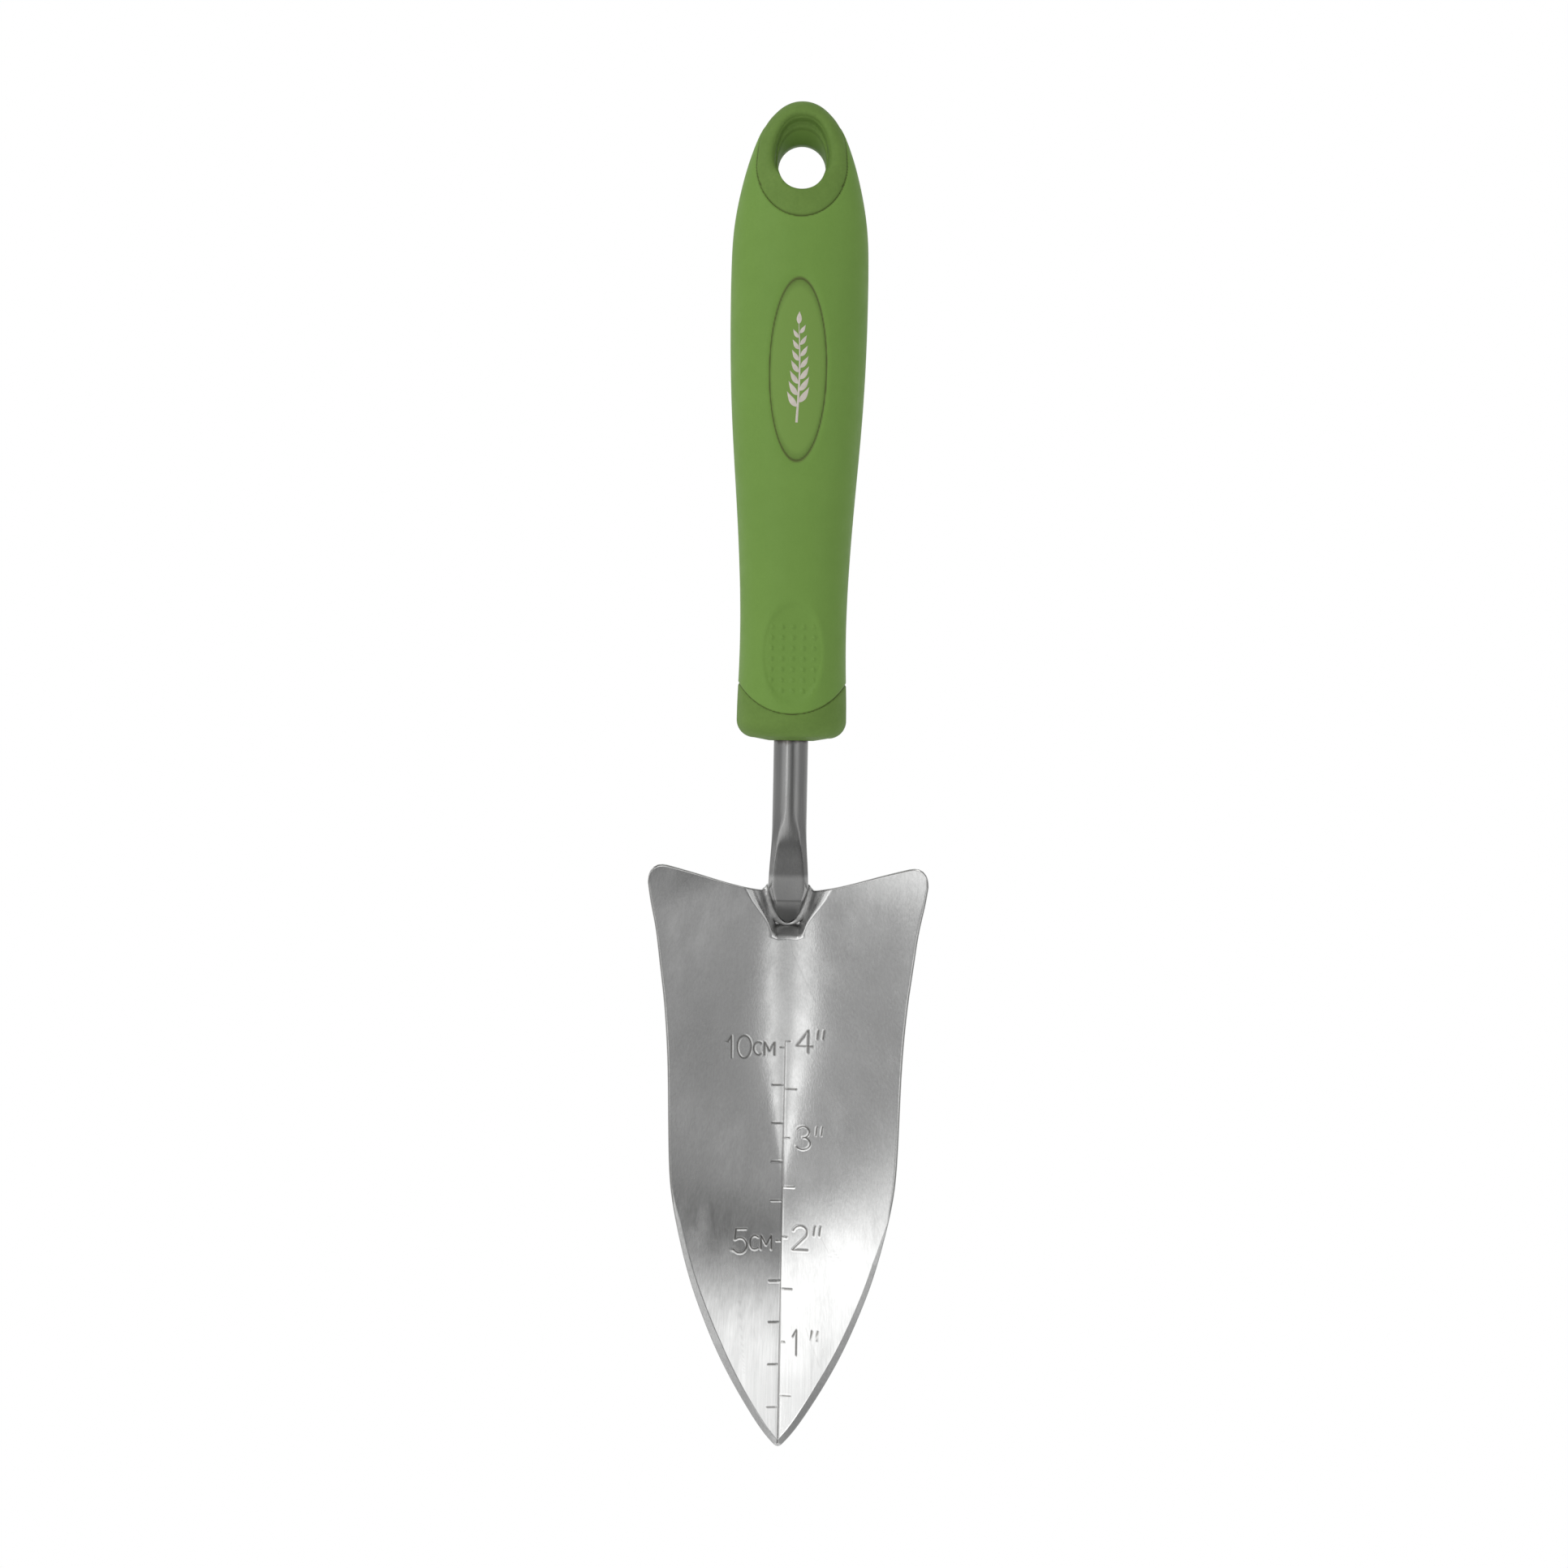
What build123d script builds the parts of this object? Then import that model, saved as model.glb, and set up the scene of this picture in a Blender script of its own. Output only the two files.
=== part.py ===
from build123d import *
import math
import os

os.makedirs("parts", exist_ok=True)

# Frame: origin at the centre of the hang hole, +Z along the handle towards the butt,
# the hollow face of the blade looks along -Y. All sizes are in mm.

# ---- handle ----
hole_radius = 5.4
mouth_half_width = 5.9      # arched recess round the front of the hang hole
mouth_top = 10.4
mouth_depth = 3.2
handle_top = 14.9
bottom_round = 4.0
sleeve_thickness = 2.0
# height, width, depth, shift towards the back
handle_stations = [
    (14.5, 4.9, 4.4, 0.0),
    (13.5, 8.9, 7.6, 0.0),
    (12.0, 12.4, 10.2, 0.0),
    (10.0, 15.8, 12.2, 0.0),
    (7.3, 19.1, 13.8, 0.0),
    (3.65, 22.1, 15.3, 0.05),
    (0.0, 24.5, 16.7, 0.1),
    (-5.0, 27.1, 18.7, 0.2),
    (-10.0, 29.1, 20.7, 0.3),
    (-16.0, 30.6, 22.8, 0.4),
    (-23.0, 31.15, 24.8, 0.5),
    (-32.0, 31.2, 26.6, 0.6),
    (-44.0, 30.8, 27.6, 0.6),
    (-59.0, 29.4, 27.2, 0.5),
    (-74.0, 27.2, 25.8, 0.4),
    (-88.0, 25.3, 24.6, 0.3),
    (-103.0, 24.15, 23.8, 0.1),
    (-115.0, 24.35, 23.9, 0.0),
    (-122.0, 24.8, 24.3, 0.0),
    (-125.8, 24.9, 24.4, 0.0),
]
section_power = 2.25        # 2 is an ellipse, more is squarer

# ---- windows in the sleeve ----
eye_half_width = 10.4       # U-shaped seam round the eyelet
eye_bottom = -12.2
eye_top_half_width = 5.6
collar_side = -116.4        # arc seam above the bottom collar
collar_middle = -124.6
badge_half_width = 6.55
badge_half_height = 20.6
badge_centre = -47.0
badge_recess = 0.4

# ---- thumb rest ----
rest_centre = -110.5
rest_half_height = 12.4
rest_depth = 1.3
dot_pitch = 2.4
dot_radius = 0.55
dot_sunk = 0.2
dot_columns = 5
dot_rows = 7

# ---- shank ----
shank_radius = 3.9
shank_top = -62.0
bend_start = -147.0
bend_angle = 17.0
bend_radius = 30.0
tongue_width = 9.2
tongue_tip = -172.0
entry_radius = 4.7          # shallow ring recess where the shank enters the collar
entry_depth = 1.6

# ---- blade ----
sheet = 1.5
tip_y = 40.8
scale_zero_z = -297.0       # height of the point the depth scale starts from
wing_slope = 0.30
wing_curl = 0.0048
channel_round = 5.0         # rounding of the crease just below the pocket
crease_sharp_z = -206.0     # below this the crease is sharp
# half width and height of the outline, from the top corner to the tip
blade_edge = [
    (31.45, -163.0),
    (30.9, -166.8),
    (29.8, -172.6),
    (28.8, -180.5),
    (27.9, -188.3),
    (27.25, -196.0),
    (26.8, -205.0),
    (26.6, -215.0),
    (26.4, -225.0),
    (25.9, -234.0),
    (24.7, -241.7),
    (23.0, -249.5),
    (20.9, -257.2),
    (18.2, -264.9),
    (15.0, -272.7),
    (11.1, -280.5),
    (6.5, -288.3),
    (1.0, -295.6),
]
tip_z = -296.2
top_edge = [(0.0, -165.1), (5.2, -164.7), (13.3, -163.1), (20.8, -160.9), (27.7, -159.0)]

# pressed pocket: height, half width at the face, half width of the floor, Y of the floor
pocket_top = (-158.0, 10.57, 6.18, 4.64)
pocket_low = (-172.4, 4.1, 2.8, 8.67)
pocket_end = (-174.8, 3.3, 2.4, 5.2)

# depth scale
tick_width = 0.5
tick_depth = 0.25
long_tick = 2.8
short_tick = 1.3


def power(value, exponent):
    return math.copysign(abs(value) ** exponent, value)


def ring(z, width, depth, shift, squareness):
    """Closed smooth section at height z."""
    points = []
    for i in range(24):
        turn = 2 * math.pi * i / 24
        x = width / 2 * power(math.cos(turn), 2 / squareness)
        y = depth / 2 * power(math.sin(turn), 2 / squareness)
        points.append((x, y + shift, z))
    return Wire([Spline(*points, periodic=True)])


def handle_body(inset):
    """The whole handle shape, drawn in by inset all round."""
    rings = []
    for z, width, depth, shift in handle_stations:
        w = width - 2 * inset
        d = depth - 2 * inset
        if w > 4.0 and d > 3.6:
            rings.append(ring(z - inset, w, d, shift, section_power))
    return [Vertex(0, 0, handle_top - inset)] + rings


def rounded_end():
    """Sections of the rounded lower edge of the handle."""
    rings = []
    z, width, depth, shift = handle_stations[-1]
    for turn in (25, 50, 72, 90):
        angle = math.radians(turn)
        shrink = 2 * bottom_round * (1 - math.cos(angle))
        low = z - bottom_round * math.sin(angle)
        rings.append(ring(low, width - shrink, depth - shrink, shift, section_power))
    return rings


def front_prism(outline, y_from, y_to):
    """An outline drawn in X and Z, made solid between two Y values."""
    sheet_face = make_face(outline)
    placed = Plane.XZ.offset(-y_from) * sheet_face
    return extrude(placed, amount=y_from - y_to)


def front_y(z):
    """Y of the front of the handle on its centre line."""
    for upper, lower in zip(handle_stations, handle_stations[1:]):
        if lower[0] <= z <= upper[0]:
            share = (upper[0] - z) / (upper[0] - lower[0])
            depth = upper[2] + (lower[2] - upper[2]) * share
            shift = upper[3] + (lower[3] - upper[3]) * share
            return shift - depth / 2
    return -handle_stations[-1][2] / 2


def side_y(z, x):
    """Y of the front of the handle away from its centre line."""
    half = 12.1
    return front_y(z) + half * (1 - (1 - (abs(x) / half) ** section_power) ** (1 / section_power))


# ---- handle ----
whole = Solid.make_loft(handle_body(0) + rounded_end())
inner = Solid.make_loft(handle_body(sleeve_thickness))

u_left = Spline((-eye_half_width, 0), (-9.0, 8.0), (-eye_top_half_width, 13.6), (-3.6, 18.0))
u_right = Spline((3.6, 18.0), (eye_top_half_width, 13.6), (9.0, 8.0), (eye_half_width, 0))
u_bowl = EllipticalCenterArc((0, 0), eye_half_width, -eye_bottom, start_angle=180, arc_size=180)
u_lid = Line((-3.6, 18.0), (3.6, 18.0))
eye_zone = front_prism([u_left, u_lid, u_right, u_bowl], -40, 40)

arc = ThreePointArc((-13.2, collar_side + 0.9), (0, collar_middle), (13.2, collar_side + 0.9))
collar_low = [(13.2, collar_side + 0.9), (13.2, -140), (-13.2, -140), (-13.2, collar_side + 0.9)]
collar_box = Polyline(*collar_low)
collar_zone = front_prism([arc, collar_box], -40, 40)

badge_face = Location((0, badge_centre)) * Ellipse(badge_half_width, badge_half_height)
badge_zone = extrude(Plane.XZ.offset(40) * badge_face, amount=-40)

sleeve = whole - inner - eye_zone - collar_zone - badge_zone
core = whole - sleeve

# the badge sits a little below the sleeve
badge_skin = whole - Solid.make_loft(handle_body(badge_recess))
core = core - (badge_skin & badge_zone)

# thumb rest: shallow dish with raised dots
rest_y = front_y(rest_centre)
hollow = rest_half_height**2 / (2 * rest_depth) + rest_depth / 2
floor_y = rest_y + rest_depth
dish = Location((0, floor_y - hollow, rest_centre)) * Rotation(0, 90, 0) * Cylinder(hollow, 40)
sleeve = sleeve - dish

dots = []
for row in range(dot_rows):
    for column in range(dot_columns):
        x = (column - (dot_columns - 1) / 2) * dot_pitch
        off = ((dot_rows - 1) / 2 - row) * dot_pitch - 1.6
        y = floor_y - hollow + math.sqrt(hollow**2 - off**2)
        bare = side_y(rest_centre + off, x)
        if bare < y - 0.1:
            dots.append(Location((x, y + dot_sunk, rest_centre + off)) * Sphere(dot_radius))
sleeve = sleeve + dots

# hang hole, its arched mouth, and the ring recess at the shank
hole = Location((0, 0, 0)) * Rotation(90, 0, 0) * Cylinder(hole_radius, 60)
mouth_arc = Ellipse(mouth_half_width, (mouth_top + hole_radius) / 2)
mouth_face = Location((0, (mouth_top - hole_radius) / 2)) * mouth_arc
mouth = extrude(Plane.XZ.offset(40) * mouth_face, amount=-(40 + front_y(0) + mouth_depth))
core = core - hole - mouth
entry = Location((0, 0, handle_stations[-1][0] - bottom_round)) * Cylinder(entry_radius, 2 * entry_depth)
core = core - entry

# ---- shank ----
turn = math.radians(bend_angle)
bend_end_z = bend_start - bend_radius * math.sin(turn)
bend_end_y = bend_radius * (1 - math.cos(turn))


def shank_y(z):
    """Y of the centre line of the shank below the bend."""
    return bend_end_y + (bend_end_z - z) * math.tan(turn)


rod = Location((0, 0, (shank_top + bend_start) / 2)) * Cylinder(shank_radius, shank_top - bend_start)
for side in (-1, 1):
    for z in (-72.0, -84.0):
        notch = Location((side * (shank_radius + 0.9), 0, z)) * Box(3.0, 12.0, 5.0)
        rod = rod - notch

forged = [
    ring(bend_start + 1.0, 7.6, 7.6, 0.0, 2.0),
    ring(bend_start - 2.0, 7.8, 7.7, 0.1, 2.0),
    ring(-152.0, 7.9, 7.4, 0.45, 2.1),
    ring(-155.0, 8.1, 6.9, 1.1, 2.4),
    ring(bend_end_z - 2.0, 8.6, 6.4, shank_y(bend_end_z - 2.0) + 0.1, 2.8),
    ring(-163.5, tongue_width, 6.1, shank_y(-163.5) + 0.4, 3.2),
    ring(-168.0, tongue_width, 5.8, shank_y(-168.0) + 0.4, 3.4),
    ring(-173.0, tongue_width, 5.4, shank_y(-173.0) + 0.4, 3.4),
]
tongue = Solid.make_loft(forged)
shield = [
    Line((-8, -140), (8, -140)),
    Line((8, -140), (8, -158)),
    Spline((8, -158), (tongue_width / 2, -165.0), (2.9, -169.2), (1.2, -171.6), (0, tongue_tip)),
    Spline((0, tongue_tip), (-1.2, -171.6), (-2.9, -169.2), (-tongue_width / 2, -165.0), (-8, -158)),
    Line((-8, -158), (-8, -140)),
]
tongue = tongue & front_prism(shield, -40, 40)
nose_z = -167.4
nose_y = shank_y(nose_z) - 2.5
nose_low = nose_z - 12
nose = Polyline((nose_y, nose_z), (nose_y + 14, nose_low), (nose_y - 14, nose_low), (nose_y - 14, nose_z), close=True)
tongue = tongue - extrude(Plane.YZ.offset(-15) * make_face(nose), amount=30)
tang = rod + tongue

# ---- blade ----
def crease_slope(along):
    """Lean of the crease from the vertical, at a distance from the tip measured along it."""
    share = along / 100
    if along <= 100:
        return math.radians(-7.5 + 53 * share - 18.5 * share**2)
    past = min(along - 100, 45)
    return math.radians(27.0 + 0.05 * past - 0.0045 * past**2)


crease = [(0.0, tip_y, scale_zero_z)]
while crease[-1][0] < 180:
    along, y, z = crease[-1]
    lean = crease_slope(along + 0.25)
    crease.append((along + 0.5, y - 0.5 * math.sin(lean), z + 0.5 * math.cos(lean)))


def crease_at(z):
    """Y of the crease at height z."""
    for (_, y0, z0), (_, y1, z1) in zip(crease, crease[1:]):
        if z0 <= z <= z1:
            return y0 + (y1 - y0) * (z - z0) / (z1 - z0)
    return crease[0][1] + (crease[0][2] - z) * math.tan(crease_slope(0))


def height_along(distance):
    """Height of the point on the crease at a distance from the zero of the scale."""
    for (s0, _, z0), (s1, _, z1) in zip(crease, crease[1:]):
        if s0 <= distance <= s1:
            return z0 + (z1 - z0) * (distance - s0) / (s1 - s0)


def blade_front(x, z):
    """Y of the hollow face of the blade."""
    share = min(max((z - crease_sharp_z) / 26, 0), 1)
    soft = channel_round * share * share * (3 - 2 * share)
    return crease_at(z) - wing_slope * math.hypot(x, soft) - wing_curl * x * x


def blade_back(x, z):
    """Y of the back of the blade, one sheet thickness away square to the face."""
    step = 0.05
    gx = (blade_front(x + step, z) - blade_front(x, z)) / step
    gz = (blade_front(x, z + step) - blade_front(x, z - step)) / (2 * step)
    return blade_front(x, z) + sheet * math.sqrt(1 + gx * gx + gz * gz)


def half_surface(law):
    rows = []
    for i in range(38):
        z = -300.0 + i * (148.0 / 37)
        rows.append([Vector(3.4 * j, law(3.4 * j, z), z) for j in range(11)])
    return Face.make_surface_from_array_of_points(rows)


front_half = half_surface(blade_front)
back_half = half_surface(blade_back)
behind_front = Solid.extrude(front_half, Vector(0, 60, 0))
behind_back = Solid.extrude(back_half, Vector(0, 60, 0))
slab = behind_front - behind_back

tip_arc = Spline(blade_edge[-1], (0.55, -296.05), (0, tip_z))
right_side = [
    Spline(*top_edge),
    Spline(top_edge[-1], (30.6, -160.3), blade_edge[0]),
    Spline(*blade_edge),
    tip_arc,
]
left_side = [mirror(edge, Plane.YZ) for edge in right_side]
outline = right_side + [Line((0, tip_z), top_edge[0])]
outline_full = right_side + left_side


def trough(z, face_half, floor_half, floor_y, grow):
    """Section of the pressed pocket at height z, grown square to its walls."""
    rise = floor_y - blade_front(face_half, z)
    lean = (face_half - floor_half) / rise
    length = math.hypot(1, lean)
    low = floor_half + grow * (length - lean)
    far = 16.0
    y = floor_y + grow
    corners = [(low, y), (low + far * lean, y - far), (-low - far * lean, y - far), (-low, y)]
    return Wire(Polyline(*[(px, py, z) for px, py in corners], close=True).edges())


cavity = Solid.make_loft([trough(*row, 0) for row in (pocket_top, pocket_low, pocket_end)], True)
grown_end = (pocket_end[0] - sheet, pocket_end[1], pocket_end[2], pocket_end[3])
bulge = Solid.make_loft([trough(*row, sheet) for row in (pocket_top, pocket_low, grown_end)], True)

half = (slab + (bulge & behind_front)) & front_prism(outline, -60, 90)
half = half - cavity
blade = half + mirror(half, Plane.YZ)

# grooves of the depth scale: centimetres on the left, inches on the right
grooves = []
for side, unit, count, labelled in ((-1, 10.0, 10, (5, 10)), (1, 12.7, 8, (2, 4, 6, 8))):
    for step in range(1, count + 1):
        length = short_tick if step in labelled else long_tick
        z = height_along(step * unit)
        x = side * length / 2
        lean = math.degrees(math.atan(wing_slope))
        tick = Rotation(0, 0, -side * lean) * Box(length, 2 * tick_depth, tick_width)
        grooves.append(Location((x, blade_front(x, z), z)) * tick)
blade = blade - grooves

tang = tang - blade

core = core - tang

# weld bead in the gap between the tongue and the pocket
bead_top = -163.6
bead_low = -172.2
sides = [(-8, bead_top), (8, bead_top), (5, bead_low), (-5, bead_low)]
bead_zone = front_prism(Polyline(*sides, close=True), -40, 40)
bead_front = [(shank_y(z) - 0.6, z) for z in (bead_top + 1, bead_low - 1)]
bead_back = [(bead_front[1][0] + 12, bead_low - 1), (bead_front[0][0] + 12, bead_top + 1)]
bead_slab = Plane.YZ.offset(-15) * make_face(Polyline(*bead_front, *bead_back, close=True))
weld = cavity & bead_zone & extrude(bead_slab, amount=30)
weld = weld & front_prism(outline_full, -60, 90)
weld = weld - tang - blade

nodes = {
    "handle_core": core,
    "grip_sleeve": sleeve,
    "tang": tang,
    "blade": blade,
    "tang_weld": weld,
}
for name, item in nodes.items():
    export_step(item, "parts/" + name + ".step")
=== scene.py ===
import bmesh
import bpy
import math
import numpy as np
from mathutils import Matrix, Vector


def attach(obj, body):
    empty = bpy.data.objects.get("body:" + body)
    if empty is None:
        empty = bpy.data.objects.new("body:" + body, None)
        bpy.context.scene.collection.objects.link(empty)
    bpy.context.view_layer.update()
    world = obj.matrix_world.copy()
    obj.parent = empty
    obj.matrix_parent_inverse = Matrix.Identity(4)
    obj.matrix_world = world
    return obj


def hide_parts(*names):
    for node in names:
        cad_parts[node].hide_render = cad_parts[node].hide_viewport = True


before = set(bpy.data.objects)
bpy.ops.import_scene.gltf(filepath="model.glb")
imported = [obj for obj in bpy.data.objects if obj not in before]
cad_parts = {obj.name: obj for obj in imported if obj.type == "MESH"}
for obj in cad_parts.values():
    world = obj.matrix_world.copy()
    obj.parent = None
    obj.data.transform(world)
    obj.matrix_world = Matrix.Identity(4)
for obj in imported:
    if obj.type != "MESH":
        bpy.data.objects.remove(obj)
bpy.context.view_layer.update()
MM = 0.001


# ------------------------------------------------------------------ helpers
def knots(values, share):
    """Natural cubic through the rows of values, read at positions share (0 to 1 by chord length)."""
    p = np.array(values, float)
    t = np.concatenate([[0], np.cumsum(np.linalg.norm(np.diff(p, axis=0), axis=1))])
    t /= t[-1]
    n = len(p)
    h = np.diff(t)
    a = np.eye(n)
    b = np.zeros_like(p)
    for i in range(1, n - 1):
        a[i, i - 1 : i + 2] = h[i - 1], 2 * (h[i - 1] + h[i]), h[i]
        b[i] = 6 * ((p[i + 1] - p[i]) / h[i] - (p[i] - p[i - 1]) / h[i - 1])
    m = np.linalg.solve(a, b)
    s = np.clip(np.asarray(share, float), 0, 1)
    k = np.clip(np.searchsorted(t, s, side="right") - 1, 0, n - 2)
    d = (s - t[k])[:, None]
    hk = h[k][:, None]
    slope = (p[k + 1] - p[k]) / hk - hk * (2 * m[k] + m[k + 1]) / 6
    return p[k] + slope * d + m[k] / 2 * d**2 + (m[k + 1] - m[k]) / (6 * hk) * d**3


def spaced(*parts):
    """Rising or falling values: (start, end, step) runs joined into one list."""
    out = []
    for start, end, step in parts:
        n = max(1, int(round(abs(end - start) / step)))
        out += list(np.linspace(start, end, n + 1)[(1 if out else 0):])
    return np.array(out)


def smooth(x, a, b):
    """0 at a, 1 at b, with an eased step between."""
    t = np.clip((x - a) / (b - a), 0, 1)
    return t * t * (3 - 2 * t)


def soft_max(a, b, k):
    """The larger of a and b, rounded over where they are within k of each other."""
    return np.maximum(a, b) + np.clip(k - np.abs(a - b), 0, None) ** 2 / (4 * k)


def polygon_distance(x, z, points):
    """Distance to a closed outline, positive inside."""
    best = np.full(x.shape, 1e9)
    inside = np.zeros(x.shape, bool)
    for (ax, az), (bx, bz) in zip(points, np.roll(points, -1, axis=0)):
        dx, dz = bx - ax, bz - az
        t = np.clip(((x - ax) * dx + (z - az) * dz) / max(dx * dx + dz * dz, 1e-12), 0, 1)
        best = np.minimum(best, (x - ax - t * dx) ** 2 + (z - az - t * dz) ** 2)
        if az != bz:
            inside ^= ((az > z) != (bz > z)) & (x < dx * (z - az) / (bz - az) + ax)
    return np.sqrt(best) * np.where(inside, 1, -1)


def stroke_distance(x, z, lines):
    """Distance to the nearest of several open lines."""
    best = np.full(x.shape, 1e9)
    for line in lines:
        for (ax, az), (bx, bz) in zip(line, line[1:]):
            dx, dz = bx - ax, bz - az
            t = np.clip(((x - ax) * dx + (z - az) * dz) / max(dx * dx + dz * dz, 1e-12), 0, 1)
            best = np.minimum(best, (x - ax - t * dx) ** 2 + (z - az - t * dz) ** 2)
    return np.sqrt(best)


def surface_distance(g, p):
    """g divided by its slope along the surface p, so that seams keep their width where the surface turns."""
    pu, pv = np.gradient(p, axis=0), np.gradient(p, axis=1)
    gu, gv = np.gradient(g, axis=0), np.gradient(g, axis=1)
    e, f, h = (pu * pu).sum(-1), (pu * pv).sum(-1), (pv * pv).sum(-1)
    det = np.maximum(e * h - f * f, 1e-9)
    slope = np.sqrt(np.maximum((h * gu**2 - 2 * f * gu * gv + e * gv**2) / det, 0))
    return g / np.clip(slope, 0.25, 2)


def normals(p, wrap):
    """Unit normals of a grid of points; wrap is True if its columns close on themselves."""
    if wrap:
        q = np.concatenate([p[:, -1:], p, p[:, :1]], axis=1)
        pv = (q[:, 2:] - q[:, :-2]) / 2
    else:
        pv = np.gradient(p, axis=1)
    n = np.cross(np.gradient(p, axis=0), pv)
    return n / np.maximum(np.linalg.norm(n, axis=-1, keepdims=True), 1e-12)


class Build:
    """Collects grids and strips of one piece, then makes the mesh."""

    def __init__(self):
        self.points, self.faces, self.marks, self.count = [], [], {}, 0

    def add(self, p, **marks):
        start = self.count
        flat = p.reshape(-1, 3)
        self.points.append(flat)
        self.count += len(flat)
        for name, values in marks.items():
            self.marks.setdefault(name, []).append((start, np.broadcast_to(values, p.shape[:-1]).ravel()))
        return np.arange(start, self.count).reshape(p.shape[:-1])

    def grid(self, ids, wrap=False, keep=None, flip=False):
        a = np.concatenate([ids, ids[:, :1]], axis=1) if wrap else ids
        quads = np.stack([a[:-1, :-1], a[:-1, 1:], a[1:, 1:], a[1:, :-1]], axis=-1)
        if keep is not None:
            k = np.concatenate([keep, keep[:, :1]], axis=1) if wrap else keep
            quads = quads[k[:-1, :-1] | k[:-1, 1:] | k[1:, 1:] | k[1:, :-1]]
        quads = quads.reshape(-1, 4)
        self.faces += (quads[:, ::-1] if flip else quads).tolist()

    def fan(self, ring, centre):
        for a, b in zip(ring, np.roll(ring, -1)):
            self.faces.append([int(a), int(b), int(centre)])

    def make(self, name, node, slot, material, merge=0.004):
        mesh = bpy.data.meshes.new(name)
        p = np.concatenate(self.points)
        faces = [list(dict.fromkeys(f)) for f in self.faces]
        mesh.from_pydata((p * MM).tolist(), [], [f for f in faces if len(f) > 2])
        for mark, parts in self.marks.items():
            layer = mesh.attributes.new(mark, "FLOAT", "POINT")
            values = np.zeros(len(p), np.float32)
            for start, v in parts:
                values[start : start + len(v)] = v
            layer.data.foreach_set("value", values)
        bm = bmesh.new()
        bm.from_mesh(mesh)
        bmesh.ops.remove_doubles(bm, verts=bm.verts, dist=merge * MM)
        bmesh.ops.delete(bm, geom=[v for v in bm.verts if not v.link_faces], context="VERTS")
        bmesh.ops.recalc_face_normals(bm, faces=bm.faces)
        bm.to_mesh(mesh)
        bm.free()
        mesh.polygons.foreach_set("use_smooth", [True] * len(mesh.polygons))
        mesh.materials.append(material)
        piece = bpy.data.objects.new(name, mesh)
        bpy.context.scene.collection.objects.link(piece)
        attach(piece, "root")
        if node:
            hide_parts(node)
        return piece


# ------------------------------------------------------------------ materials
def principled(name):
    material = bpy.data.materials.new(name)
    material.use_nodes = True
    tree = material.node_tree
    shader = tree.nodes["Principled BSDF"]
    return material, tree, shader


def link(tree, a, b):
    tree.links.new(a, b)


def texture(tree, scale, detail, rough, stretch=(1, 1, 1), offset=(0, 0, 0)):
    """Noise in the object's own coordinates, stretched along the axes."""
    coords = tree.nodes.new("ShaderNodeTexCoord")
    place = tree.nodes.new("ShaderNodeMapping")
    place.inputs["Scale"].default_value = stretch
    place.inputs["Location"].default_value = offset
    link(tree, coords.outputs["Object"], place.inputs["Vector"])
    node = tree.nodes.new("ShaderNodeTexNoise")
    for key, number in (("Detail", detail), ("Roughness", rough), ("Scale", scale)):
        node.inputs[key].default_value = number
    link(tree, place.outputs["Vector"], node.inputs["Vector"])
    return node.outputs["Fac"]


def spread(tree, value, low, high, to_low, to_high, kind="LINEAR"):
    """Value rescaled from low..high to to_low..to_high, and held at the ends."""
    node = tree.nodes.new("ShaderNodeMapRange")
    node.interpolation_type = kind
    for key, number in zip(("From Min", "From Max", "To Min", "To Max"), (low, high, to_low, to_high)):
        node.inputs[key].default_value = number
    link(tree, value, node.inputs["Value"])
    return node.outputs["Result"]


def mix(tree, share, a, b):
    """Colour a, moved towards b by share."""
    node = tree.nodes.new("ShaderNodeMix")
    node.data_type = "RGBA"
    for socket, value in ((node.inputs[0], share), (node.inputs[6], a), (node.inputs[7], b)):
        if isinstance(value, bpy.types.NodeSocket):
            link(tree, value, socket)
        elif isinstance(value, tuple):
            socket.default_value = (*value, 1)
        else:
            socket.default_value = value
    return node.outputs[2]


def calc(tree, kind, a, b):
    node = tree.nodes.new("ShaderNodeMath")
    node.operation = kind
    for socket, value in ((node.inputs[0], a), (node.inputs[1], b)):
        if isinstance(value, bpy.types.NodeSocket):
            link(tree, value, socket)
        else:
            socket.default_value = value
    return node.outputs[0]


def bump(tree, height, distance, strength=1.0, under=None):
    node = tree.nodes.new("ShaderNodeBump")
    node.inputs["Distance"].default_value = distance
    node.inputs["Strength"].default_value = strength
    link(tree, height, node.inputs["Height"])
    if under:
        link(tree, under, node.inputs["Normal"])
    return node.outputs["Normal"]


def mark(tree, name):
    """A mask stored on the mesh, such as the dark one for dirt and painted shade."""
    node = tree.nodes.new("ShaderNodeAttribute")
    node.attribute_name = name
    return node.outputs["Fac"]


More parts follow.
